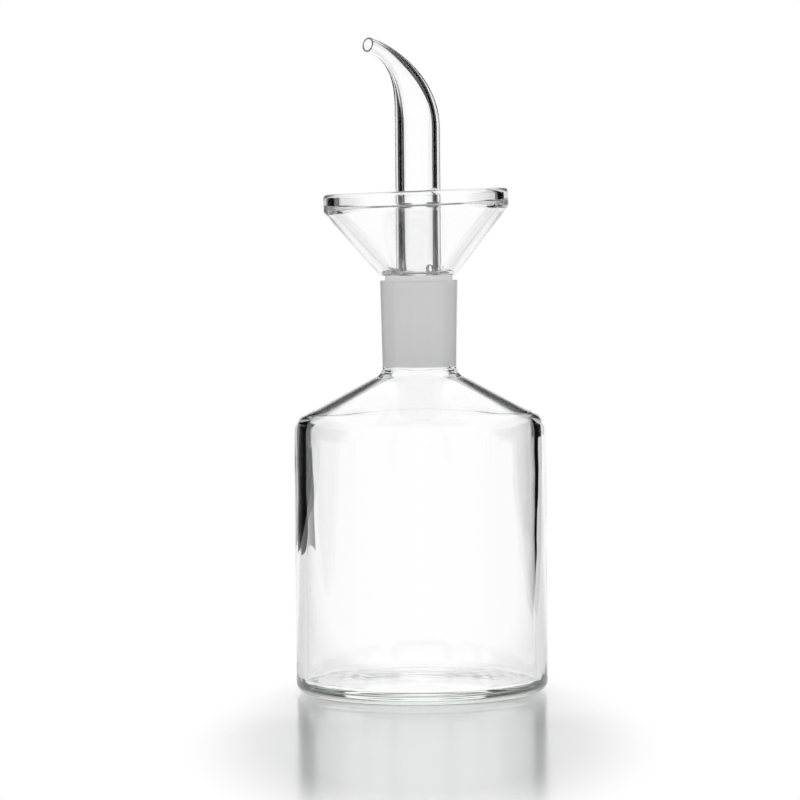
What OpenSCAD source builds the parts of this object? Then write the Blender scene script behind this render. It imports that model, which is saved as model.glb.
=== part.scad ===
// Glass pouring bottle with a ground joint and a lift-off drip funnel head.
// Millimetres. The origin is the centre of the foot, +Z is up and the spout points along +Y.

/* [Bottle] */
// Outer diameter of the body tube
body_d = 70; // [60:0.5:90]
// Height at which the wall and the shoulder would meet in a sharp corner
body_h = 75.5; // [55:0.5:110]
// Wall of the body
body_wall = 3.2; // [1.6:0.1:4]
// Rounding between the wall and the foot
heel_r = 4.4; // [3:0.1:6]
// Width of the flat ring that the bottle stands on
foot_w = 1.6; // [0.8:0.1:3]
// Glass above the foot ring
heel_t = 3.2; // [2:0.1:5]
// Height of the hollow pushed up under the bottom
push_up = 1.1; // [0.4:0.1:2]
// Glass in the middle of the bottom
bottom_t = 3.0; // [2:0.1:5]

/* [Shoulder] */
// Rise of the shoulder above the horizontal, in degrees
shoulder_rise = 27.7; // [18:0.1:36]
// Wall of the shoulder
shoulder_wall = 2.0; // [1.4:0.1:3.2]
// Rounding where the wall turns into the shoulder, on the outside
shoulder_r = 4.5; // [3.6:0.1:7]
// The same rounding on the inside
shoulder_in_r = 4.5; // [2:0.1:8]
// Rounding where the shoulder turns up into the neck
flare_r = 3.0; // [2:0.1:5]

/* [Ground joint] */
// Wide bore of the socket, at its lip
joint_d = 18.8; // [16:0.1:24]
// Length of the ground socket
joint_len = 24; // [18:0.5:30]
// The bore gets 1 mm wider in this length
joint_taper = 10; // [9:1:20]
// Film between the two ground faces, measured along the radius
joint_gap = 0.05; // [0.02:0.01:0.1]
// Wall of the socket at its foot
neck_wall = 2.05; // [1.6:0.05:3]
// Wall of the socket at its lip
lip_wall = 1.4; // [1.1:0.1:2.4]
// Rounding of the socket's flame-polished lip
lip_r = 0.45; // [0.2:0.05:0.5]
// How far the cone stops above the foot of the socket
cone_short = 4; // [1:0.5:8]
// How far the cone stands out of the socket
cone_proud = 2; // [1.5:0.1:4]
// Wall of the cone
cone_wall = 1.8; // [1.4:0.1:2]

/* [Drip funnel] */
// Outer diameter of the rim
funnel_d = 51.4; // [46:0.2:60]
// Height of the funnel, from the cone to the rim
funnel_h = 22.7; // [20:0.1:32]
// Wall of the funnel under its rim
funnel_wall = 1.8; // [1.4:0.1:2.2]
// How far the funnel's foot stands out round the cone
funnel_foot_w = 0.7; // [0.3:0.1:1.5]
// Rounding of the bulge where the funnel leaves the cone
funnel_foot_r = 1.2; // [0.8:0.1:1.6]
// How far that bulge hangs below the top of the cone
funnel_foot_drop = 0.6; // [0:0.1:0.8]
// Thickness of the rolled rim
rim_t = 3.0; // [2.4:0.1:3.4]
// Height of the rolled rim
rim_h = 3.6; // [3.4:0.1:4.6]
// Rounding where the side turns up into the rim
rim_turn_r = 4; // [2:0.1:6]
// Lean of the hand-set funnel, in degrees
funnel_lean = 1.8; // [0:0.1:2.2]
// Side that the funnel leans to, in degrees from +X
funnel_lean_side = 45; // [0:5:360]

/* [Seal] */
// Width of the glass web between the top of the cone's bore and the spout
seal_w = 1.4; // [0.8:0.1:2]
// Thickness of that web
seal_t = 2.4; // [1.5:0.1:4]
// Drop from the top of the cone to the top of the web
seal_drop = 0.4; // [0.2:0.1:1.2]

/* [Spout] */
// Wall of the spout tube
spout_wall = 1.75; // [1.2:0.05:2]
// Length of the tube that hangs below the top of the cone
spout_tail = 8; // [5:0.5:14]
// Straight length of the tube above the rim
spout_rise = 17.3; // [8:0.1:40]
// Length of the even bend along its middle
bend_len = 32.1; // [26:0.1:40]
// Turn of the bend, in degrees
bend_turn = 80; // [40:1:90]
// Outer diameter of the drawn tip
tip_d = 4.1; // [3:0.1:8]
// Wall of the drawn tip
tip_wall = 0.5; // [0.4:0.05:1]
// How soon the tube gets thin along the bend: the higher, the sooner
draw_ease = 3.2; // [1:0.1:4]
// Diameter of the hole at the spout's foot that drains the funnel
drain_d = 2.6; // [1.5:0.1:3.4]

/* [Hidden] */

$fn = 96;
arc_steps = 8;
dome_steps = 6;
bend_rings = 20;
bend_sides = 32;

// The shoulder and the neck.
body_r = body_d / 2;
body_ri = body_r - body_wall;
neck_ri = (joint_d - joint_len / joint_taper) / 2;
neck_r = neck_ri + neck_wall;
rise = tan(shoulder_rise);
corner_turn = 90 - shoulder_rise;
corner_reach = tan(corner_turn / 2);
neck_z = body_h + (body_r - neck_r) * rise + flare_r * corner_reach;
inner_h = body_h - shoulder_wall / cos(shoulder_rise);

// The ground joint: the socket's bore and the cone at a height.
lip_z = neck_z + joint_len;
function bore_r(z) = joint_d / 2 - (lip_z - z) / joint_taper / 2;
function cone_r(z) = bore_r(z) - joint_gap;
function cone_ri(z) = cone_r(z) - cone_wall;
cone_z = neck_z + cone_short;
cone_top = lip_z + cone_proud;

// The funnel before it leans. Its side is the line that touches the foot's bulge and the rim's turn.
rim_z = cone_top + funnel_h;
rim_r = funnel_d / 2;
foot_z = cone_top - funnel_foot_drop;
bulge = [cone_r(cone_top) + funnel_foot_w, foot_z + funnel_foot_r];
rim_turn = [rim_r - rim_turn_r, rim_z - rim_h];
side_run = rim_turn - bulge;
side_slope = atan2(side_run[0], side_run[1]) + asin((rim_turn_r - funnel_foot_r) / norm(side_run));

// The seal and the spout.
seal_top = cone_top - seal_drop;
seal_z = seal_top - seal_t;
spout_r = cone_ri(cone_top) - seal_w;
spout_ri = spout_r - spout_wall;
tail_z = cone_top - spout_tail;
bend_z = rim_z + spout_rise;
drain_z = seal_top + drain_d / 2 + seal_drop;
bend_skin = 0.02;
bend_root = 0.5;

function reverse(points) = [for (i = [len(points) - 1:-1:0]) points[i]];

// Points on an arc about [x, z], from one angle to another.
function arc(x, z, r, from, to) =
    [for (i = [0:arc_steps]) let (a = from + (to - from) * i / arc_steps) [x + r * cos(a), z + r * sin(a)]];

// The arc that rounds a wall of radius x into a shoulder that it would meet at height z.
function shoulder_arc(x, z, r) = arc(x - r, z - r * corner_reach, r, 0, corner_turn);

// The hollow arc that rounds the shoulder into a neck of radius x, up to the foot of the socket.
function flare_arc(x, z) =
    let (r = (neck_z - z) / corner_reach)
    arc(x + r, neck_z, r, 180 + corner_turn, 180);

// A shallow dome about the axis, from its middle out to radius r.
function dome(r, middle, edge) =
    [for (i = [0:dome_steps]) let (t = i / dome_steps) [r * t, middle + (edge - middle) * t * t]];

// A ring of flame-polished tube end about radius r: its rounded lower edge.
function tube_end(r, wall, z) =
    let (e = wall / 3)
    concat(arc(r - wall + e, z + e, e, 180, 270), arc(r - e, z + e, e, -90, 0));

module bottle_body() {
    foot_out = body_r - heel_r;
    heel_ri = heel_r - body_wall / 2;
    floor_r = body_ri - heel_ri;
    outside = concat(
        dome(foot_out - foot_w, push_up, 0),
        arc(foot_out, heel_r, heel_r, -90, 0),
        shoulder_arc(body_r, body_h, shoulder_r),
        flare_arc(neck_r, body_h + (body_r - neck_r) * rise)
    );
    inside = concat(
        dome(floor_r, push_up + bottom_t, heel_t),
        arc(floor_r, heel_t + heel_ri, heel_ri, -90, 0),
        shoulder_arc(body_ri, inner_h + body_wall * rise, shoulder_in_r),
        flare_arc(neck_ri, inner_h + (body_r - neck_ri) * rise)
    );
    color("aliceblue", 0.35)
    rotate_extrude()
    polygon(concat(outside, reverse(inside)));
}

module neck_socket() {
    edge_z = lip_z - lip_r;
    color("gainsboro", 0.6)
    rotate_extrude()
    polygon(concat(
        [[neck_ri, neck_z], [neck_r, neck_z]],
        arc(joint_d / 2 + lip_wall - lip_r, edge_z, lip_r, 0, 90),
        arc(bore_r(edge_z) + lip_r, edge_z, lip_r, 90, 180)
    ));
}

module ground_cone() {
    end_z = cone_z + cone_wall / 3;
    color("gainsboro", 0.6)
    rotate_extrude()
    polygon(concat(
        tube_end(cone_r(end_z), cone_wall, cone_z),
        [[cone_r(cone_top), cone_top], [cone_ri(cone_top), cone_top]]
    ));
}

module drip_funnel() {
    bead_x = rim_r - rim_t / 2;
    groove_z = rim_z - rim_h - funnel_wall / 2;
    groove_r = rim_turn[0] + (rim_turn_r - funnel_wall) / cos(side_slope)
        - (rim_turn[1] - groove_z) * tan(side_slope);
    collar = 2;
    collar_r = cone_r(cone_top) - cone_wall / 2;
    color("aliceblue", 0.35)
    difference() {
        translate([0, 0, cone_top])
        rotate([0, 0, funnel_lean_side])
        rotate([0, funnel_lean, 0])
        rotate([0, 0, -funnel_lean_side])
        translate([0, 0, -cone_top])
        rotate_extrude()
        polygon(concat(
            [[cone_ri(cone_top), cone_top - collar], [collar_r, cone_top - collar]],
            [[collar_r, foot_z]],
            arc(bulge[0], bulge[1], funnel_foot_r, -90, -side_slope),
            arc(rim_turn[0], rim_turn[1], rim_turn_r, -side_slope, 0),
            arc(bead_x, rim_z - rim_t / 2, rim_t / 2, 0, 180),
            arc(bead_x, rim_z - rim_h + rim_t / 2, rim_t / 2, 180, 230),
            [[groove_r, groove_z], [cone_ri(cone_top), cone_top]]
        ));
        translate([0, 0, cone_top - 2 * collar])
        cylinder(h = 2 * collar, r = cone_r(cone_top));
    }
}

module ring_seal() {
    color("aliceblue", 0.35)
    rotate_extrude()
    polygon([
        [spout_r, seal_z],
        [cone_ri(seal_z), seal_z],
        [cone_ri(seal_top), seal_top],
        [spout_r, seal_top]
    ]);
}

// Turn of the bend at a share t of its length, and the tube's radius there.
function bend_angle(t) = bend_turn * t;
function drawn(from, to, t) = to + (from - to) * pow(1 - t * t, draw_ease);

// Middle of the bend at each ring, as [y, z].
bend_path = [
    for (i = 0, p = [0, bend_z];
        i <= bend_rings;
        i = i + 1,
        p = p + bend_len / bend_rings * [sin(bend_angle((i - 0.5) / bend_rings)),
                                         cos(bend_angle((i - 0.5) / bend_rings))])
    p
];

// One ring of points about p, square to the tube where it has turned by angle.
function ring(p, angle, r) =
    [for (k = [0:bend_sides - 1]) let (a = 360 * k / bend_sides)
        [r * cos(a), p[0] + r * sin(a) * cos(angle), p[1] - r * sin(a) * sin(angle)]];

// The rings of one skin of the bend, from its root inside the straight tube to the tip.
function bend_skin_rings(from, to) = concat(
    ring([0, bend_z - bend_root], 0, from),
    [for (i = [0:bend_rings]) let (t = i / bend_rings)
        each ring(bend_path[i], bend_angle(t), drawn(from, to, t))]
);

module spout_bend() {
    rings = bend_rings + 1;
    inner = (rings + 1) * bend_sides;
    function at(i, k) = i * bend_sides + k % bend_sides;
    polyhedron(
        points = concat(
            bend_skin_rings(spout_r - bend_skin, tip_d / 2),
            bend_skin_rings(spout_ri + bend_skin, tip_d / 2 - tip_wall)
        ),
        faces = concat(
            [for (i = [0:rings - 1], k = [0:bend_sides - 1])
                [at(i, k), at(i + 1, k), at(i + 1, k + 1), at(i, k + 1)]],
            [for (i = [0:rings - 1], k = [0:bend_sides - 1])
                [inner + at(i, k), inner + at(i, k + 1), inner + at(i + 1, k + 1), inner + at(i + 1, k)]],
            [for (k = [0:bend_sides - 1])
                [at(0, k), at(0, k + 1), inner + at(0, k + 1), inner + at(0, k)]],
            [for (k = [0:bend_sides - 1])
                [at(rings, k), inner + at(rings, k), inner + at(rings, k + 1), at(rings, k + 1)]]
        )
    );
}

module spout_tube() {
    color("aliceblue", 0.35)
    union() {
        difference() {
            rotate_extrude()
            polygon(concat(
                tube_end(spout_r, spout_wall, tail_z),
                [[spout_r, bend_z], [spout_ri, bend_z]]
            ));
            translate([0, 0, drain_z])
            rotate([90, 0, 0])
            cylinder(h = 2 * spout_r, d = drain_d);
        }
        spout_bend();
    }
}

bottle_body();
neck_socket();
ground_cone();
drip_funnel();
ring_seal();
spout_tube();
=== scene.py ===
import math

import bpy
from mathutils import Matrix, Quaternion, Vector


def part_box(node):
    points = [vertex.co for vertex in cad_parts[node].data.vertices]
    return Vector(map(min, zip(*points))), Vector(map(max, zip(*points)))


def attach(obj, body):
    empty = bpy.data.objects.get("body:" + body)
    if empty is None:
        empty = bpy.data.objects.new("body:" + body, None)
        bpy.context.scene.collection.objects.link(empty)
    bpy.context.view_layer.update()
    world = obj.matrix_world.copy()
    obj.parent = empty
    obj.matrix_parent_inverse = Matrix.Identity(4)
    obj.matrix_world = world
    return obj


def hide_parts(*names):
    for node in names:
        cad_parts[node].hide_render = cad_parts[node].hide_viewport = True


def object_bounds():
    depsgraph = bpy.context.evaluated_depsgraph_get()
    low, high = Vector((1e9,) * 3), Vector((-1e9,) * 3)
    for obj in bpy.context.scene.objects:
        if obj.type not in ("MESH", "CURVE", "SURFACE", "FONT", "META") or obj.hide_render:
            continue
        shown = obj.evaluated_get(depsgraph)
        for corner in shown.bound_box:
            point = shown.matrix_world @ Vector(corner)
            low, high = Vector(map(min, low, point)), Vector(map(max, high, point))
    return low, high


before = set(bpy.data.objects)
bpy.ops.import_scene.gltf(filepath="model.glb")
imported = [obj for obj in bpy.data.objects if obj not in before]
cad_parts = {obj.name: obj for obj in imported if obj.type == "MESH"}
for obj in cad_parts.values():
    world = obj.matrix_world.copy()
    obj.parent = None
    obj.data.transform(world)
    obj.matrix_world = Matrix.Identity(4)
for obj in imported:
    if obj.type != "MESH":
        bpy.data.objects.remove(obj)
cad_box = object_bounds()

# ------------------------------------------------------------------------------------------------------------
# Sizes in metres. Heights come from the frame; walls and roundings are the glassmaker's.
# ------------------------------------------------------------------------------------------------------------
MM = 0.001

_, body_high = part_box("bottle_body")
socket_low, socket_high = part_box("neck_socket")
cone_low, cone_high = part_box("ground_cone")
seal_low, seal_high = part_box("ring_seal")
spout_low, spout_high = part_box("spout_tube")

BODY_R = body_high.x
BODY_H = 75.5 * MM
BODY_WALL = 3.2 * MM
HEEL_R = 4.4 * MM
FOOT_W = 1.6 * MM
HEEL_T = 3.2 * MM
PUSH_UP = 1.1 * MM
BOTTOM_T = 3.0 * MM
SHOULDER_RISE = math.radians(27.7)
SHOULDER_R = 4.5 * MM
SHOULDER_WALL = 2.0 * MM
SHOULDER_IN_R = 4.5 * MM
FLARE_R = 3.0 * MM
FLARE_IN_R = 5.0 * MM

JOINT_TAPER = 10
JOINT_R = 9.4 * MM
JOINT_GAP = 0.05 * MM
LIP_WALL = 1.4 * MM
NECK_WALL = 2.05 * MM
LIP_R = 0.45 * MM
CONE_WALL = 1.8 * MM
MELT_R = 0.6 * MM

FUNNEL_R = 25.7 * MM
FUNNEL_H = 22.7 * MM
FUNNEL_FOOT_W = 0.7 * MM
FUNNEL_FOOT_R = 1.2 * MM
FUNNEL_FOOT_DROP = 0.6 * MM
FUNNEL_SEAM_R = 0.35 * MM
FUNNEL_WALL = 1.8 * MM
RIM_T = 3.0 * MM
RIM_H = 3.6 * MM
RIM_TURN_R = 4.0 * MM
RIM_IN_R = 1.2 * MM
RIM_GROOVE_R = 0.5 * MM
# The fine line under the rim's bead: its depth, and its roundings from below up.
CREASE = 0.12 * MM
CREASE_LOW_R = 0.5 * MM
CREASE_IN_R = 0.2 * MM
CREASE_HIGH_R = 0.8 * MM
# The funnel is set a little askew, as by hand. The lean grows from the tube outwards, and over the last of
# the cone's height.
FUNNEL_LEAN = math.radians(1.8)
FUNNEL_LEAN_SIDE = math.radians(45)
LEAN_RISE = 1.0 * MM
LEAN_FROM_R = 7 * MM
LEAN_FULL_R = 11 * MM

SPOUT_R = spout_high.x
SPOUT_WALL = 1.75 * MM
BEND_LEN = 32.1 * MM
BEND_TURN = math.radians(80)
TIP_R = 2.05 * MM
TIP_WALL = 0.5 * MM
TIP_END_R = 0.22 * MM
DRAW_EASE = 3.2
SPOUT_RISE = 17.3 * MM
DRAIN_D = 2.6 * MM
DRAIN_LIFT = 0.4 * MM

neck_z = socket_low.z
lip_z = socket_high.z
cone_z = cone_low.z
cone_top = cone_high.z
rim_z = cone_top + FUNNEL_H
bend_z = rim_z + SPOUT_RISE
tail_z = spout_low.z

# How fine the meshes are.
ROUND = 192
ROW = 1.5 * MM
ARC_STEP = math.radians(6)
DRAWN_ROWS = 56
DOME_ROWS = 24
SPINE_POINTS = 160
DRILL_SIDES = 48
SHARP_EDGE = math.radians(38)
# Rows closer than this are one row, and points closer than the weld are one point.
SAME_ROW = 0.01 * MM
WELD = 0.002 * MM
# A turn flatter than this is straight, and a rounding takes at most this share of an edge.
STRAIGHT = 1e-4
ARC_SHARE = 0.49


# ------------------------------------------------------------------------------------------------------------
# Outlines: corners (r, z, rounding) become rows of points on the half section of the glass.
# ------------------------------------------------------------------------------------------------------------
def arc_at(corner, before, after, radius):
    """Points on the arc that rounds one corner between its two neighbours."""
    c, a, b = Vector(corner), Vector(before), Vector(after)
    to_a, to_b = (a - c).normalized(), (b - c).normalized()
    turn = math.pi - to_a.angle(to_b)
    if radius <= 0 or turn < STRAIGHT:
        return [c]
    reach = min(radius * math.tan(turn / 2), ARC_SHARE * (a - c).length, ARC_SHARE * (b - c).length)
    start, end = c + to_a * reach, c + to_b * reach
    middle = c + (to_a + to_b).normalized() * (reach / math.cos((math.pi - turn) / 2))
    steps = max(2, math.ceil(turn / ARC_STEP))
    radius = (start - middle).length
    points = []
    for i in range(steps + 1):
        share = i / steps
        spoke = (start - middle) * math.sin((1 - share) * turn) + (end - middle) * math.sin(share * turn)
        points.append(middle + spoke.normalized() * radius)
    return points


def outline(corners, closed):
    """The whole outline of a section, rounded at its corners and with a row at least every ROW."""
    plain = [(r, z) for r, z, _ in corners]
    count = len(corners)
    points = []
    for i, (r, z, radius) in enumerate(corners):
        if closed or 0 < i < count - 1:
            points += arc_at((r, z), plain[i - 1], plain[(i + 1) % count], radius)
        else:
            points.append(Vector((r, z)))
    if closed:
        points.append(points[0])
    rows = [points[0]]
    for point in points[1:]:
        start = rows[-1]
        span = (point - start).length
        if span < SAME_ROW and point is not points[-1]:
            continue
        steps = math.ceil(span / ROW)
        rows += [start.lerp(point, i / steps) for i in range(1, steps)]
        rows.append(point)
    return rows


def bore_r(z):
    """Radius of the socket's tapered bore at a height."""
    return JOINT_R - (lip_z - z) / JOINT_TAPER / 2


def cone_r(z):
    """Radius of the ground cone, which runs just inside the bore."""
    return bore_r(z) - JOINT_GAP


def cone_inner_r(z):
    """Radius of the cone's bore, which narrows with its outside."""
    return cone_r(z) - CONE_WALL


def dome(radius, middle, edge, count=DOME_ROWS):
    """Points on a soft rise in the middle of the bottom, from the axis out to radius."""
    return [(radius * i / count, edge + (middle - edge) * (1 + math.cos(math.pi * i / count)) / 2, 0)
            for i in range(count + 1)]


def bottle_outline():
    """From the middle of the foot up the outside, over the lip and down the inside."""
    rise = math.tan(SHOULDER_RISE)
    foot_in = BODY_R - HEEL_R - FOOT_W
    neck_r = bore_r(neck_z) + NECK_WALL
    inner_r = BODY_R - BODY_WALL
    inner_h = BODY_H - SHOULDER_WALL / math.cos(SHOULDER_RISE)
    heel_inner = HEEL_R - BODY_WALL / 2
    corners = dome(foot_in, PUSH_UP, 0)
    corners += [
        (BODY_R, 0, HEEL_R),
        (BODY_R, BODY_H, SHOULDER_R),
        (neck_r, BODY_H + (BODY_R - neck_r) * rise, FLARE_R),
        (JOINT_R + LIP_WALL, lip_z, LIP_R),
        (JOINT_R, lip_z, LIP_R),
        (bore_r(neck_z), neck_z, 0),
        (bore_r(neck_z), inner_h + (BODY_R - bore_r(neck_z)) * rise, FLARE_IN_R),
        (inner_r, inner_h + BODY_WALL * rise, SHOULDER_IN_R),
        (inner_r, HEEL_T, heel_inner),
    ]
    corners += reversed(dome(inner_r - heel_inner, PUSH_UP + BOTTOM_T, HEEL_T))
    return outline(corners, closed=False)


def drawn(start, end, share):
    """Radius of the spout's drawn end at a share of the bend's length."""
    return end + (start - end) * (1 - share ** 2) ** DRAW_EASE


def spout_draw(start, end, rising, count=DRAWN_ROWS):
    """Corners up the drawn end, or down it, as if the bend were still straight."""
    shares = [i / count for i in range(1, count)]
    rows = [(drawn(start, end, t), bend_z + BEND_LEN * t, 0) for t in shares]
    return rows if rising else rows[::-1]


def head_outline():
    """From the cone's end up the outside of the funnel, down into it, up the spout and down its bore."""
    foot_z = cone_top - FUNNEL_FOOT_DROP
    bulge = Vector((cone_r(cone_top) + FUNNEL_FOOT_W, foot_z + FUNNEL_FOOT_R))
    rim_turn = Vector((FUNNEL_R - RIM_TURN_R, rim_z - RIM_H))
    run = rim_turn - bulge
    slope = math.atan2(run.x, run.y) + math.asin((RIM_TURN_R - FUNNEL_FOOT_R) / run.length)
    foot_corner = bulge.x + FUNNEL_FOOT_R * math.tan((math.pi / 2 - slope) / 2)
    turn_corner = rim_turn.y - RIM_TURN_R * math.tan(slope / 2)
    groove_z = rim_z - RIM_H - FUNNEL_WALL / 2
    groove_r = (rim_turn.x + (RIM_TURN_R - FUNNEL_WALL) / math.cos(slope)
                - (rim_turn.y - groove_z) * math.tan(slope))
    bead_low = rim_z - RIM_H
    spout_inner = SPOUT_R - SPOUT_WALL
    tip_z = bend_z + BEND_LEN
    corners = [
        (cone_r(cone_z), cone_z, MELT_R),
        (cone_r(foot_z), foot_z, FUNNEL_SEAM_R),
        (foot_corner, foot_z, FUNNEL_FOOT_R),
        (FUNNEL_R, turn_corner, RIM_TURN_R),
        (FUNNEL_R, bead_low - CREASE, CREASE_LOW_R),
        (FUNNEL_R - CREASE, bead_low, CREASE_IN_R),
        (FUNNEL_R, bead_low + CREASE, CREASE_HIGH_R),
        (FUNNEL_R, rim_z, RIM_T / 2),
        (FUNNEL_R - RIM_T, rim_z, RIM_T / 2),
        (FUNNEL_R - RIM_T, bead_low, RIM_IN_R),
        (groove_r, groove_z, RIM_GROOVE_R),
        (cone_inner_r(cone_top), cone_top, MELT_R),
        (SPOUT_R, seal_high.z, MELT_R),
        (SPOUT_R, bend_z, 0),
        *spout_draw(SPOUT_R, TIP_R, rising=True),
        (TIP_R, tip_z, TIP_END_R),
        (TIP_R - TIP_WALL, tip_z, TIP_END_R),
        *spout_draw(spout_inner, TIP_R - TIP_WALL, rising=False),
        (spout_inner, bend_z, 0),
        (spout_inner, tail_z, MELT_R),
        (SPOUT_R, tail_z, MELT_R),
        (SPOUT_R, seal_low.z, MELT_R),
        (cone_inner_r(seal_low.z), seal_low.z, MELT_R),
        (cone_inner_r(cone_z), cone_z, MELT_R),
    ]
    return outline(corners, closed=True)


def bend_spine(count=SPINE_POINTS):
    """The middle line of the bend, from where the straight tube ends."""
    y, z = 0.0, bend_z
    points = [(0, y, z)]
    step = BEND_LEN / count
    for i in range(count):
        turn = BEND_TURN * (i + 0.5) / count
        y += step * math.sin(turn)
        z += step * math.cos(turn)
        points.append((0, y, z))
    return points


def chain(name, points):
    """A bare row of joined points, the input of a node tree."""
    mesh = bpy.data.meshes.new(name)
    mesh.from_pydata(points, [(i, i + 1) for i in range(len(points) - 1)], [])
    piece = bpy.data.objects.new(name, mesh)
    bpy.context.scene.collection.objects.link(piece)
    return piece


def section(name, rows):
    """A half section as a row of points, standing in the plane of X and Z."""
    return chain(name, [(p.x, 0, p.y) for p in rows])


# ------------------------------------------------------------------------------------------------------------
# Node helpers
# ------------------------------------------------------------------------------------------------------------
class Tree:
    """A node tree with short ways to add nodes and join them."""

    def __init__(self, tree):
        self.tree = tree

    def add(self, kind, *inputs, **settings):
        """Adds a node. Inputs are sockets or plain values in order, and None leaves one as it is."""
        node = self.tree.nodes.new(kind)
        for name, value in settings.items():
            setattr(node, name, value)
        live = [s for s in node.inputs if s.enabled]
        for slot, value in zip(live, inputs):
            self.put(value, slot)
        return node

    def put(self, value, slot):
        """Joins a socket to the slot or sets the slot to a plain value, and None leaves it as it is."""
        if isinstance(value, bpy.types.NodeSocket):
            self.tree.links.new(value, slot)
        elif value is not None:
            slot.default_value = value

    def math(self, operation, *inputs):
        return self.add("ShaderNodeMath", *inputs, operation=operation).outputs[0]

    def vector(self, operation, *inputs):
        node = self.add("ShaderNodeVectorMath", *inputs, operation=operation)
        return next(s for s in node.outputs if s.enabled)

    def scaled(self, vector, size):
        node = self.add("ShaderNodeVectorMath", vector, operation="SCALE")
        self.put(size, node.inputs["Scale"])
        return node.outputs[0]

    def split(self, vector):
        return self.add("ShaderNodeSeparateXYZ", vector).outputs

    def join(self, x, y, z):
        return self.add("ShaderNodeCombineXYZ", x, y, z).outputs[0]

    def length(self, x, y):
        """Length of the flat vector (x, y)."""
        squares = [self.math("POWER", value, 2.0) for value in (x, y)]
        return self.math("SQRT", self.math("ADD", *squares))

    def ramp_value(self, value, low, high, start=0.0, end=1.0):
        """Value that eases from start to end as the input goes from low to high."""
        ramp = self.add("ShaderNodeMapRange", value, low, high, start, end, interpolation_type="SMOOTHSTEP")
        return ramp.outputs[0]

    def noise(self, place, scale, detail, roughness):
        return self.add("ShaderNodeTexNoise", place, scale, detail, roughness).outputs[0]


def geometry_tree(name, inputs):
    """A geometry node tree with its named inputs, and the tree's first and last sockets."""
    group = bpy.data.node_groups.new(name, "GeometryNodeTree")
    group.interface.new_socket("Geometry", in_out="INPUT", socket_type="NodeSocketGeometry")
    group.interface.new_socket("Geometry", in_out="OUTPUT", socket_type="NodeSocketGeometry")
    for socket_name, socket_type in inputs:
        group.interface.new_socket(socket_name, in_out="INPUT", socket_type="NodeSocket" + socket_type)
    source = group.nodes.new("NodeGroupInput")
    result = group.nodes.new("NodeGroupOutput")
    return group, Tree(group), source.outputs, result.inputs[0]


def run_tree(piece, group, values):
    """Runs the tree on the piece and keeps the result as a plain mesh."""
    modifier = piece.modifiers.new(group.name, "NODES")
    modifier.node_group = group
    for item in group.interface.items_tree:
        if item.in_out == "INPUT" and item.name in values:
            modifier[item.identifier] = values[item.name]
    scene = bpy.context.evaluated_depsgraph_get()
    baked = bpy.data.meshes.new_from_object(piece.evaluated_get(scene))
    baked.name = piece.name
    piece.modifiers.clear()
    piece.data = baked


# ------------------------------------------------------------------------------------------------------------
# Geometry trees: glass turned on the lathe, and the head's spout bent and its funnel set
# ------------------------------------------------------------------------------------------------------------
# The slow ripple of the blown wall, and a closer one at the heel: how deep each is, and its scale.
WALL_RIPPLE = 0.12 * MM
WALL_RIPPLE_SCALE = 70.0
HEEL_RIPPLE = 0.4 * MM
HEEL_RIPPLE_SCALE = 180.0
# The ripples leave the body's outside smooth. They grow over the first two depths under it and die out over
# the other two, before the neck and the middle of the foot. The heel's also has its own heights.
RIPPLE_STARTS = (1 * MM, 2 * MM)
RIPPLE_ENDS = (12 * MM, 6 * MM)
HEEL_RIPPLE_STARTS = (2 * MM, 3.5 * MM)
HEEL_RIPPLE_ENDS = (HEEL_R + 4 * MM, HEEL_R)
# How far a choice of glass by its place reaches past its shape, so that rounding leaves none of it out, and
# a radius past all of the glass.
BORE_SLACK = 0.02 * MM
CONE_SLACK = 0.1 * MM
TUBE_SLACK = 0.1 * MM
PAST_GLASS_R = 1.0
# The rounded end of the cone isn't ground.
CONE_END = 0.4 * MM


def turn_on_lathe(tree, profile, round_count):
    """Sockets of a mesh that is the section, turned about Z. Its seam and poles are closed."""
    rows = tree.add("GeometryNodeAttributeDomainSize", profile, component="MESH").outputs["Point Count"]
    columns = tree.math("ADD", round_count, 1.0)
    grid = tree.add("GeometryNodeMeshGrid", 1.0, 1.0, columns, rows).outputs["Mesh"]
    place = tree.split(tree.add("GeometryNodeInputPosition").outputs[0])
    last = tree.math("SUBTRACT", rows, 1.0)
    row = tree.math("ROUND", tree.math("MULTIPLY", tree.math("ADD", place["Y"], 0.5), last))
    angle = tree.math("MULTIPLY", tree.math("ADD", place["X"], 0.5), math.tau)
    here = tree.add("GeometryNodeInputPosition").outputs[0]
    point = tree.add("GeometryNodeSampleIndex", profile, here, row, data_type="FLOAT_VECTOR").outputs[0]
    turned = tree.add("ShaderNodeVectorRotate", point, (0, 0, 0), (0, 0, 1), angle).outputs[0]
    glass = tree.add("GeometryNodeSetPosition", grid, None, turned).outputs[0]
    return tree.add("GeometryNodeMergeByDistance", glass, None, WELD).outputs[0]


def ripple(tree, glass, amount, scale, mask):
    """Moves the glass in and out along its radius by a slow noise, as hand work does."""
    here = tree.add("GeometryNodeInputPosition").outputs[0]
    noise = tree.noise(here, scale, detail=1.0, roughness=0.5)
    size = tree.math("MULTIPLY", tree.math("SUBTRACT", noise, 0.5), amount)
    size = tree.math("MULTIPLY", size, mask)
    away = tree.vector("NORMALIZE", tree.vector("MULTIPLY", here, (1, 1, 0)))
    return tree.add("GeometryNodeSetPosition", glass, None, None, tree.scaled(away, size)).outputs[0]


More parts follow.
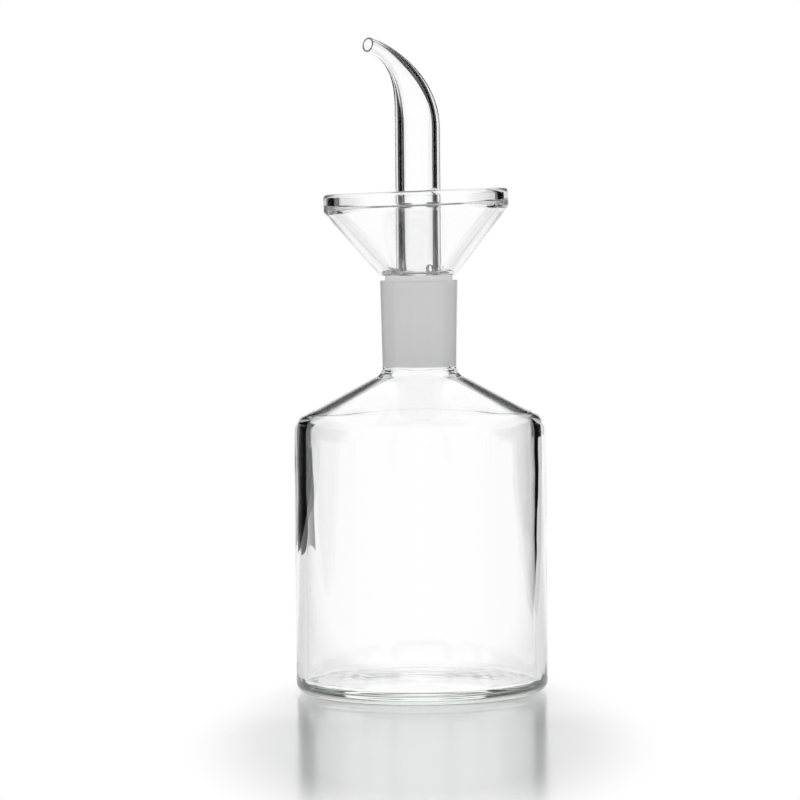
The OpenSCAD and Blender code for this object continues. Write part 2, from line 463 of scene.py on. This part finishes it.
def finish_glass(tree, glass, material, ground_faces, ground_material):
    """Smooth shading but for true edges, then one real mesh with its two materials."""
    angle = tree.add("GeometryNodeInputMeshEdgeAngle").outputs["Unsigned Angle"]
    sharp = tree.math("GREATER_THAN", angle, SHARP_EDGE)
    glass = tree.add("GeometryNodeSetShadeSmooth", glass, None, True, domain="FACE").outputs[0]
    glass = tree.add("GeometryNodeSetShadeSmooth", glass, sharp, False, domain="EDGE").outputs[0]
    glass = tree.add("GeometryNodeRealizeInstances", glass).outputs[0]
    glass = tree.add("GeometryNodeSetMaterial", glass, None, material).outputs[0]
    return tree.add("GeometryNodeSetMaterial", glass, ground_faces, ground_material).outputs[0]


def band(tree, low, high, inner, outer):
    """True on what lies between two heights and two radii."""
    place = tree.split(tree.add("GeometryNodeInputPosition").outputs[0])
    radius = tree.length(place["X"], place["Y"])
    between = tree.math("MULTIPLY", tree.math("GREATER_THAN", place["Z"], low),
                        tree.math("LESS_THAN", place["Z"], high))
    around = tree.math("MULTIPLY", tree.math("GREATER_THAN", radius, inner),
                       tree.math("LESS_THAN", radius, outer))
    return tree.math("MULTIPLY", between, around)


def bottle_tree():
    """The bottle's section turned on the lathe, with its wall rippled and its bore ground."""
    group, tree, given, result = geometry_tree(
        "bottle on the lathe",
        [("Round", "Int"), ("Ripple", "Float"), ("Ripple scale", "Float"), ("Heel ripple", "Float"),
         ("Heel ripple scale", "Float"), ("Ground low", "Float"), ("Ground high", "Float"),
         ("Ground radius", "Float"), ("Glass", "Material"), ("Ground glass", "Material")])
    glass = turn_on_lathe(tree, given["Geometry"], given["Round"])
    place = tree.split(tree.add("GeometryNodeInputPosition").outputs[0])
    radius = tree.length(place["X"], place["Y"])
    starts, ends = (tree.ramp_value(radius, *[BODY_R - depth for depth in depths])
                    for depths in (RIPPLE_STARTS, RIPPLE_ENDS))
    wall = tree.math("MULTIPLY", starts, ends)
    glass = ripple(tree, glass, given["Ripple"], given["Ripple scale"], wall)
    heel = tree.math("MULTIPLY", tree.ramp_value(place["Z"], *HEEL_RIPPLE_STARTS),
                     tree.ramp_value(place["Z"], *HEEL_RIPPLE_ENDS))
    heel = tree.math("MULTIPLY", heel, wall)
    glass = ripple(tree, glass, given["Heel ripple"], given["Heel ripple scale"], heel)
    ground = band(tree, given["Ground low"], given["Ground high"], 0.0, given["Ground radius"])
    tree.put(finish_glass(tree, glass, given["Glass"], ground, given["Ground glass"]), result)
    return group


def set_funnel_askew(tree, glass, here, place, radius, given):
    """Leans all that is outside the tube and above the cone's top."""
    high = tree.ramp_value(place["Z"], cone_top - LEAN_RISE, cone_top)
    wide = tree.ramp_value(radius, LEAN_FROM_R, LEAN_FULL_R)
    tilt = tree.math("MULTIPLY", tree.math("MULTIPLY", high, wide), given["Lean"])
    hinge = tree.join(0.0, 0.0, given["Lean height"])
    axis = tree.join(tree.math("MULTIPLY", tree.math("SINE", given["Lean side"]), -1.0),
                     tree.math("COSINE", given["Lean side"]), 0.0)
    leaned = tree.add("ShaderNodeVectorRotate", here, hinge, axis, tilt).outputs[0]
    return tree.add("GeometryNodeSetPosition", glass, None, leaned).outputs[0]


def bend_spout(tree, glass, place, radius, given):
    """Lays the tube above the bend's height along the spine."""
    spine = tree.add("GeometryNodeObjectInfo", given["Spine"]).outputs["Geometry"]
    spine = tree.add("GeometryNodeMeshToCurve", spine).outputs[0]
    past = tree.math("SUBTRACT", place["Z"], given["Bend height"])
    on = tree.add("GeometryNodeSampleCurve", spine, None, past, mode="LENGTH")
    way = tree.split(on.outputs["Tangent"])
    across = tree.join(0.0, way["Z"], tree.math("MULTIPLY", way["Y"], -1.0))
    side = tree.join(place["X"], 0.0, 0.0)
    bent = tree.vector("ADD", on.outputs["Position"], tree.scaled(across, place["Y"]))
    bent = tree.vector("ADD", bent, side)
    thin = tree.math("LESS_THAN", radius, tree.math("ADD", given["Spout radius"], TUBE_SLACK))
    on_bend = tree.math("MULTIPLY", thin, tree.math("GREATER_THAN", past, 0.0))
    return tree.add("GeometryNodeSetPosition", glass, on_bend, bent).outputs[0]


def drill_drain(tree, glass, given):
    """Drills the drain hole through the back wall of the tube."""
    drill_r = tree.math("MULTIPLY", given["Drain diameter"], 0.5)
    drill = tree.add("GeometryNodeMeshCylinder", DRILL_SIDES, 1, 1, drill_r, given["Spout radius"])
    aim = tree.join(0.0, tree.math("MULTIPLY", given["Spout radius"], -1.0), given["Drain height"])
    drill = tree.add("GeometryNodeTransform", drill.outputs["Mesh"], aim, (math.pi / 2, 0, 0)).outputs[0]
    cut = tree.add("GeometryNodeMeshBoolean", operation="DIFFERENCE", solver="MANIFOLD")
    tree.put(glass, cut.inputs["Mesh 1"])
    tree.put(drill, cut.inputs["Mesh 2"])
    return cut.outputs["Mesh"]


def head_tree():
    """The head's section turned on the lathe, with funnel leaned, spout bent and drain drilled."""
    group, tree, given, result = geometry_tree(
        "head on the lathe",
        [("Round", "Int"), ("Spine", "Object"), ("Bend height", "Float"), ("Spout radius", "Float"),
         ("Lean", "Float"), ("Lean side", "Float"), ("Lean height", "Float"),
         ("Drain diameter", "Float"), ("Drain height", "Float"), ("Ground low", "Float"),
         ("Ground high", "Float"), ("Ground radius", "Float"), ("Glass", "Material"),
         ("Ground glass", "Material")])
    glass = turn_on_lathe(tree, given["Geometry"], given["Round"])
    here = tree.add("GeometryNodeInputPosition").outputs[0]
    place = tree.split(here)
    radius = tree.length(place["X"], place["Y"])
    glass = set_funnel_askew(tree, glass, here, place, radius, given)
    glass = bend_spout(tree, glass, place, radius, given)
    glass = drill_drain(tree, glass, given)
    ground = band(tree, given["Ground low"], given["Ground high"], given["Ground radius"], PAST_GLASS_R)
    tree.put(finish_glass(tree, glass, given["Glass"], ground, given["Ground glass"]), result)
    return group


# ------------------------------------------------------------------------------------------------------------
# Glass
# ------------------------------------------------------------------------------------------------------------
GLASS_IOR = 1.47
GLASS_TINT = (0.72, 0.86, 0.76, 1)
GLASS_TINT_DENSITY = 4.0
# The share of light that goes through a face, and how pale the frost on a ground one is. The cone's frost
# is darker than the socket's as painted shade, for the light lost through both frosted layers.
POLISHED_CLEAR = 1.0
FROST_CLEAR = 0.0
FROST_BUMP = 0.25
FROST_DEPTH = 0.02 * MM
SOCKET_WHITE = 0.94
CONE_FROST_PAINTED_SHADE = 0.84


def shader_group(name, inputs, outputs):
    """A shader node group with its named numbers, and its first and last sockets."""
    group = bpy.data.node_groups.new(name, "ShaderNodeTree")
    for socket_name, value in inputs:
        socket = group.interface.new_socket(socket_name, in_out="INPUT", socket_type="NodeSocketFloat")
        socket.default_value = value
    for socket_name, socket_type in outputs:
        group.interface.new_socket(socket_name, in_out="OUTPUT", socket_type="NodeSocket" + socket_type)
    source = group.nodes.new("NodeGroupInput")
    result = group.nodes.new("NodeGroupOutput")
    return group, Tree(group), source.outputs, result.inputs


def ground_face():
    """Roughness and grain of a face that is ground to a fine frost, a little cloudy from place to place."""
    group, tree, given, result = shader_group(
        "ground face",
        [("Frost", 0.6), ("Cloud", 0.2), ("Cloud scale", 220.0), ("Grain scale", 9000.0)],
        [("Roughness", "Float"), ("Grain", "Float")])
    place = tree.add("ShaderNodeTexCoord").outputs["Object"]
    grain = tree.noise(place, given["Grain scale"], detail=2.0, roughness=0.6)
    cloud = tree.noise(place, given["Cloud scale"], detail=2.0, roughness=0.5)
    shift = tree.math("MULTIPLY", tree.math("SUBTRACT", cloud, 0.5), given["Cloud"])
    tree.put(tree.math("ADD", given["Frost"], shift), result["Roughness"])
    tree.put(grain, result["Grain"])
    return group


def node_material(name):
    """A new material with an empty node tree."""
    material = bpy.data.materials.new(name)
    material.use_nodes = True
    material.node_tree.nodes.clear()
    return material, Tree(material.node_tree)


def tinted_glass(name, clear, white=1.0):
    """Glass with a faint tint, its tree and its shader. Clear is the share of light that goes through."""
    material, tree = node_material(name)
    shader = tree.add("ShaderNodeBsdfPrincipled")
    for socket, value in (("Base Color", (white, white, white, 1)), ("Metallic", 0.0), ("Roughness", 0.0),
                          ("Transmission Weight", clear), ("IOR", GLASS_IOR)):
        shader.inputs[socket].default_value = value
    tint = tree.add("ShaderNodeVolumeAbsorption", GLASS_TINT, GLASS_TINT_DENSITY)
    result = tree.add("ShaderNodeOutputMaterial")
    tree.put(shader.outputs[0], result.inputs["Surface"])
    tree.put(tint.outputs[0], result.inputs["Volume"])
    return material, tree, shader


def clear_glass():
    """The polished glass of both pieces."""
    return tinted_glass("clear glass", POLISHED_CLEAR)[0]


def ground_glass(name, white, frost):
    """Glass with the frost of a ground joint, in a base white that is darker for the cone as painted shade.
    """
    material, tree, shader = tinted_glass(name, FROST_CLEAR, white)
    face = tree.add("ShaderNodeGroup", node_tree=frost)
    bump = tree.add("ShaderNodeBump")
    bump.inputs["Strength"].default_value = FROST_BUMP
    bump.inputs["Distance"].default_value = FROST_DEPTH
    tree.put(face.outputs["Grain"], bump.inputs["Height"])
    tree.put(face.outputs["Roughness"], shader.inputs["Roughness"])
    tree.put(bump.outputs[0], shader.inputs["Normal"])
    return material


# ------------------------------------------------------------------------------------------------------------
# The two pieces
# ------------------------------------------------------------------------------------------------------------
def make_bottle(glass, ground):
    """The round bottle with its ground socket."""
    bottle = section("bottle_glass", bottle_outline())
    run_tree(bottle, bottle_tree(), {
        "Round": ROUND, "Ripple": WALL_RIPPLE, "Ripple scale": WALL_RIPPLE_SCALE,
        "Heel ripple": HEEL_RIPPLE, "Heel ripple scale": HEEL_RIPPLE_SCALE,
        "Ground low": neck_z, "Ground high": lip_z - LIP_R, "Ground radius": JOINT_R + BORE_SLACK,
        "Glass": glass, "Ground glass": ground})
    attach(bottle, "bottle")
    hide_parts("bottle_body", "neck_socket")


def make_head(glass, ground):
    """The ground cone, the drip funnel and the spout, which are one piece of glass."""
    head = section("head_glass", head_outline())
    spine = chain("spout spine", bend_spine())
    run_tree(head, head_tree(), {
        "Round": ROUND, "Spine": spine, "Bend height": bend_z, "Spout radius": SPOUT_R,
        "Lean": FUNNEL_LEAN, "Lean side": FUNNEL_LEAN_SIDE, "Lean height": cone_top,
        "Drain diameter": DRAIN_D, "Drain height": seal_high.z + DRAIN_D / 2 + DRAIN_LIFT,
        "Ground low": cone_z + CONE_END, "Ground high": cone_top - FUNNEL_FOOT_DROP,
        "Ground radius": cone_r(cone_z) - CONE_SLACK, "Glass": glass, "Ground glass": ground})
    bpy.data.objects.remove(spine)
    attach(head, "head")
    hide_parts("ground_cone", "drip_funnel", "ring_seal", "spout_tube")


# ------------------------------------------------------------------------------------------------------------
# Studio: a white table, white cards and a room with dark sides for the glass to show, and the camera
# ------------------------------------------------------------------------------------------------------------
DARK_LEVEL = 0.004
DARK = (DARK_LEVEL, DARK_LEVEL, DARK_LEVEL, 1)
WHITE = (1, 1, 1, 1)
MAIN_LOOK = 315

# Brightness round the bottle by direction: degrees from +X, and level.
# The curved white cards: one to each side of the camera, and a wide one beyond the bottle with a faint end.
CARD_LEVELS = (
    (0, 0.0), (69, 0.0), (71, 1.0), (109, 1.0), (111, 0.0), (159, 0.0), (161, 1.0), (199, 1.0), (201, 0.0),
    (290, 0.0), (291, 1.0), (333, 1.0), (334, 0.05), (340, 0.05), (341, 0.0),
)
# The room beyond them: a white wall behind the camera, a strip beyond the bottle, and dark elsewhere.
ROOM_LEVELS = (
    (0, DARK_LEVEL), (52, DARK_LEVEL), (60, 1.0), (210, 1.0), (218, DARK_LEVEL), (307, DARK_LEVEL),
    (310, 1.0), (320, 1.0), (323, DARK_LEVEL),
)
# The stretches of cards and table that stay lit for light that has bounced about inside the glass. Elsewhere
# they turn dark for that light alone: painted shade in the glass's inner reflections.
PAINTED_ECHO_LEVELS = (
    (0, 0.0), (76, 0.0), (80, 1.0), (100, 1.0), (104, 0.0), (166, 0.0), (170, 1.0), (190, 1.0), (194, 0.0),
    (300, 0.0), (304, 1.0), (326, 1.0), (330, 0.0),
)
# The table's top, brightest towards the camera and beyond the bottle.
TABLE_LEVELS = (
    (0, 0.85), (72, 0.85), (80, 1.0), (190, 1.0), (198, 0.85), (283, 0.85), (300, 1.0), (330, 1.0),
    (345, 0.85),
)
# The sine of a direction's height where the room turns to its white ceiling, where that turns dark straight
# above, and where the walls turn pale for light that has bounced about inside the glass alone, with how pale:
# painted light in the glass's inner reflections.
CEILING = (0.42, 0.5)
OVERHEAD = (0.88, 0.95)
PAINTED_ECHO_WALL = (0.17, 0.25)
PAINTED_ECHO_WALL_LEVEL = 0.75

CARD_R = 1000 * MM
CARD_H = 232 * MM
CARD_SIDES = 180
# Below this level a stretch of the ring has no card.
NO_CARD = 0.01

TABLE_R = 1200 * MM
TABLE_SIDES = 96
TABLE_DROP = 0.02 * MM
TABLE_ROUGHNESS = 0.16
TABLE_IOR = 1.45
# Where the table's white ends, as the glass shows it, measured from the bottle along the main view and to its
# sides. A side edge fans out with the distance, and none of them starts nearer than the first distance.
EDGE_SOFT = 6 * MM
TABLE_EDGES_FROM = 120 * MM
TABLE_LEFT = 108 * MM
TABLE_LEFT_FAN = 0.315
TABLE_LEFT_FROM = 370 * MM
TABLE_BACK = 430 * MM
TABLE_BACK_FAN = 0.32
TABLE_RIGHT = 118 * MM
TABLE_RIGHT_FAN = 0.55
# The oval patch before the bottle where the camera sees the table's own gloss and shading; its oval and its
# darker colour stand in for the bottle's soft shadow as painted shade. How far its middle lies before the
# bottle, its half sizes, the share of them at which it fades, and its colours from the camera's side to the
# bottle's, with the stretch in which they turn: the darker one is painted shade, and the paler one by the
# bottle lightens the bottle's real shadow as painted light.
SHADE_PATCH_BEFORE = 95 * MM
SHADE_PATCH_HALF_LENGTH = 165 * MM
SHADE_PATCH_HALF_WIDTH = 62 * MM
SHADE_PATCH_FADE = (0.55, 1.0)
SHADE_PATCH_FAR_COLOUR = (0.66, 0.665, 0.665, 1)
SHADE_PATCH_NEAR_COLOUR = (0.82, 0.825, 0.825, 1)
SHADE_PATCH_TURN = (-75 * MM, -35 * MM)

CAMERA_AWAY = 1.1
CAMERA_ROLL = math.radians(-0.52)
CAMERA_LENS = 178.5
CAMERA_SENSOR = 36
CAMERA_CLIP = 0.05
AIM_LEFT = 5.5 * MM
AIM_H = 81 * MM
LIGHT_BOUNCES = 40
# A depth past these is at least one bounce, and at least two.
ONE_BOUNCE = 0.5
TWO_BOUNCES = 1.5


def level_ring(tree, azimuth, stops):
    """Brightness by direction, from its stops."""
    ramp = tree.add("ShaderNodeValToRGB", azimuth)
    elements = ramp.color_ramp.elements
    while len(elements) < len(stops):
        elements.new(0.5)
    for element, (degrees, level) in zip(elements, stops):
        element.position = degrees / 360
        element.color = (level, level, level, 1)
    return ramp.outputs[0]


def turn_share(tree, xyz):
    """Azimuth of a direction or place as a share of a turn from +X."""
    turn = tree.math("ARCTAN2", xyz["Y"], xyz["X"])
    return tree.math("FRACT", tree.math("ADD", tree.math("DIVIDE", turn, math.tau), 1.0))


def blend_colours(tree, share, start, end):
    """The start colour where the share is 0, and the end colour where it is 1."""
    mix = tree.add("ShaderNodeMix", share, start, end, data_type="RGBA")
    return next(s for s in mix.outputs if s.enabled)


def bounced_inside(tree, path):
    """1 on light that has bounced about inside the glass."""
    return tree.math("MULTIPLY", tree.math("GREATER_THAN", path["Transmission Depth"], ONE_BOUNCE),
                     tree.math("GREATER_THAN", path["Glossy Depth"], TWO_BOUNCES))


def painted_echo_shade(tree, path, xyz):
    """1 on light bounced about inside the glass where cards and table turn dark for it alone: painted shade.
    """
    level = level_ring(tree, turn_share(tree, xyz), PAINTED_ECHO_LEVELS)
    return tree.math("MULTIPLY", bounced_inside(tree, path), tree.math("SUBTRACT", 1.0, level))


def plain_share(tree, path):
    """1 on what the camera sees itself and on light for a matt face, which both meet plain white."""
    matt = tree.math("GREATER_THAN", path["Diffuse Depth"], ONE_BOUNCE)
    return tree.math("MAXIMUM", matt, path["Is Camera Ray"])


def studio_world():
    """Plain white to the camera, and a room with dark sides to the glass."""
    world = bpy.data.worlds.new("studio")
    bpy.context.scene.world = world
    world.use_nodes = True
    world.node_tree.nodes.clear()
    tree = Tree(world.node_tree)
    xyz = tree.split(tree.add("ShaderNodeTexCoord").outputs["Generated"])
    path = tree.add("ShaderNodeLightPath").outputs
    room = level_ring(tree, turn_share(tree, xyz), ROOM_LEVELS)
    # Paler walls for light bounced inside the glass alone: painted light in its inner reflections.
    wall = tree.ramp_value(xyz["Z"], *PAINTED_ECHO_WALL, 0.0, PAINTED_ECHO_WALL_LEVEL)
    room = blend_colours(tree, tree.math("MULTIPLY", bounced_inside(tree, path), wall), room, WHITE)
    room = blend_colours(tree, tree.ramp_value(xyz["Z"], *CEILING), room, WHITE)
    room = blend_colours(tree, tree.ramp_value(xyz["Z"], *OVERHEAD), room, DARK)
    room = blend_colours(tree, plain_share(tree, path), room, WHITE)
    background = tree.add("ShaderNodeBackground", room, 1.0)
    result = tree.add("ShaderNodeOutputWorld")
    tree.put(background.outputs[0], result.inputs["Surface"])


def card_material():
    """White cards that only the glass shows, from their inner side."""
    material, tree = node_material("white cards")
    xyz = tree.split(tree.add("ShaderNodeTexCoord").outputs["Object"])
    path = tree.add("ShaderNodeLightPath").outputs
    level = level_ring(tree, turn_share(tree, xyz), CARD_LEVELS)
    # Dark for light bounced inside the glass, outside the echo stretches: painted shade.
    glow = blend_colours(tree, painted_echo_shade(tree, path, xyz), level, DARK)
    shown = tree.math("MAXIMUM", path["Is Glossy Ray"], path["Is Transmission Ray"])
    for limit in (tree.math("LESS_THAN", path["Diffuse Depth"], ONE_BOUNCE),
                  tree.math("SUBTRACT", 1.0, path["Is Shadow Ray"]),
                  tree.math("GREATER_THAN", level, NO_CARD),
                  tree.add("ShaderNodeNewGeometry").outputs["Backfacing"]):
        shown = tree.math("MULTIPLY", shown, limit)
    card = tree.add("ShaderNodeMixShader", shown, tree.add("ShaderNodeBsdfTransparent").outputs[0],
                    tree.add("ShaderNodeEmission", glow, 1.0).outputs[0])
    result = tree.add("ShaderNodeOutputMaterial")
    tree.put(card.outputs[0], result.inputs["Surface"])
    return material


def studio_mesh(name, points, faces, material):
    """A plain mesh for the studio, at the origin."""
    mesh = bpy.data.meshes.new(name)
    mesh.from_pydata(points, [], faces)
    mesh.materials.append(material)
    thing = bpy.data.objects.new(name, mesh)
    bpy.context.scene.collection.objects.link(thing)
    return thing


def ring_points(radius, sides, z):
    """Points round Z at one height."""
    turns = [math.tau * i / sides for i in range(sides)]
    return [(radius * math.cos(t), radius * math.sin(t), z) for t in turns]


def white_cards():
    """One open ring from the table's level up, of which the material shows only the cards."""
    sides = CARD_SIDES
    points = ring_points(CARD_R, sides, 0) + ring_points(CARD_R, sides, CARD_H)
    faces = [(i, (i + 1) % sides, sides + (i + 1) % sides, sides + i) for i in range(sides)]
    cards = studio_mesh("cards", points, faces, card_material())


def beyond(tree, value, limit):
    """1 where the value is past the limit, with a soft edge."""
    return tree.ramp_value(value, limit - EDGE_SOFT, limit + EDGE_SOFT)


def table_glow(tree, xyz, ahead, left):
    """Brightness of the table's top where glass shows it: white by the bottle, and dark past its edges."""
    ring = level_ring(tree, turn_share(tree, xyz), TABLE_LEVELS)
    side = tree.math("SUBTRACT", left, tree.math("MULTIPLY", ahead, TABLE_LEFT_FAN))
    off_left = tree.math("MULTIPLY", beyond(tree, side, TABLE_LEFT), beyond(tree, ahead, TABLE_LEFT_FROM))
    side = tree.math("SUBTRACT", left, tree.math("MULTIPLY", ahead, TABLE_BACK_FAN))
    off_back = tree.math("MULTIPLY", beyond(tree, side, 0.0), beyond(tree, ahead, TABLE_BACK))
    right = tree.math("MULTIPLY", left, -1.0)
    side = tree.math("SUBTRACT", right, tree.math("MULTIPLY", ahead, TABLE_RIGHT_FAN))
    off = tree.math("MAXIMUM", off_left, tree.math("MAXIMUM", off_back, beyond(tree, side, TABLE_RIGHT)))
    off = tree.math("MULTIPLY", off, beyond(tree, ahead, TABLE_EDGES_FROM))
    return blend_colours(tree, off, ring, DARK)


def table_material():
    """A white table. The camera sees its gloss and painted shade in the patch before the bottle, white
    elsewhere.
    """
    material, tree = node_material("white table")
    xyz = tree.split(tree.add("ShaderNodeTexCoord").outputs["Object"])
    look = math.radians(MAIN_LOOK)
    ahead = tree.math("ADD", tree.math("MULTIPLY", xyz["X"], math.cos(look)),
                      tree.math("MULTIPLY", xyz["Y"], math.sin(look)))
    left = tree.math("SUBTRACT", tree.math("MULTIPLY", xyz["Y"], math.cos(look)),
                     tree.math("MULTIPLY", xyz["X"], math.sin(look)))
    # The oval of painted shade before the bottle, around the table's real gloss and shadow.
    depth = tree.math("DIVIDE", tree.math("ADD", ahead, SHADE_PATCH_BEFORE), SHADE_PATCH_HALF_LENGTH)
    across = tree.math("DIVIDE", left, SHADE_PATCH_HALF_WIDTH)
    off_shade_patch = tree.ramp_value(tree.length(depth, across), *SHADE_PATCH_FADE)
    path = tree.add("ShaderNodeLightPath").outputs
    shader = tree.add("ShaderNodeBsdfPrincipled")
    shader.inputs["Roughness"].default_value = TABLE_ROUGHNESS
    shader.inputs["IOR"].default_value = TABLE_IOR
    # Darker on the camera's side as painted shade, paler by the bottle as painted light on its real shadow.
    painted_paler_by_bottle = tree.ramp_value(ahead, *SHADE_PATCH_TURN)
    tree.put(blend_colours(tree, painted_paler_by_bottle, SHADE_PATCH_FAR_COLOUR, SHADE_PATCH_NEAR_COLOUR), shader.inputs["Base Color"])
    # The table turns dark for light bounced inside the glass, outside the echo stretches: painted shade.
    glow = blend_colours(tree, painted_echo_shade(tree, path, xyz), table_glow(tree, xyz, ahead, left), DARK)
    glow = blend_colours(tree, plain_share(tree, path), glow, WHITE)
    glowing = tree.math("MAXIMUM", off_shade_patch, tree.math("SUBTRACT", 1.0, path["Is Camera Ray"]))
    top = tree.add("ShaderNodeMixShader", glowing, shader.outputs[0],
                   tree.add("ShaderNodeEmission", glow, 1.0).outputs[0])
    result = tree.add("ShaderNodeOutputMaterial")
    tree.put(top.outputs[0], result.inputs["Surface"])
    return material


def white_table():
    """A round top just under the bottle's foot."""
    points = ring_points(TABLE_R, TABLE_SIDES, cad_box[0].z - TABLE_DROP)
    table = studio_mesh("table", points, [tuple(range(TABLE_SIDES))], table_material())


def main_camera():
    """Level with the funnel's rim, far back, and looking a little down at the bottle."""
    look = math.radians(MAIN_LOOK)
    ahead = Vector((math.cos(look), math.sin(look), 0))
    left = Vector((-math.sin(look), math.cos(look), 0))
    data = bpy.data.cameras.new("camera")
    data.lens = CAMERA_LENS
    data.sensor_width = CAMERA_SENSOR
    data.clip_start = CAMERA_CLIP
    camera = bpy.data.objects.new("camera", data)
    eye = ahead * -CAMERA_AWAY + Vector((0, 0, rim_z))
    aim = left * AIM_LEFT + Vector((0, 0, AIM_H))
    camera.location = eye
    camera.rotation_mode = "QUATERNION"
    camera.rotation_quaternion = (aim - eye).to_track_quat("-Z", "Y") @ Quaternion((0, 0, 1), CAMERA_ROLL)
    bpy.context.scene.collection.objects.link(camera)
    bpy.context.scene.camera = camera


def plain_render_settings():
    """Standard colours, and enough bounces for light to find its way out of the glass."""
    scene = bpy.context.scene
    scene.view_settings.view_transform = "Standard"
    scene.cycles.max_bounces = LIGHT_BOUNCES
    scene.cycles.transmission_bounces = LIGHT_BOUNCES
    scene.cycles.glossy_bounces = LIGHT_BOUNCES


clear = clear_glass()
frost = ground_face()
make_bottle(clear, ground_glass("ground socket", SOCKET_WHITE, frost))
# The cone's frost is darker than the socket's: painted shade, not a different finish.
make_head(clear, ground_glass("ground cone", CONE_FROST_PAINTED_SHADE, frost))
studio_world()
white_cards()
white_table()
main_camera()
plain_render_settings()
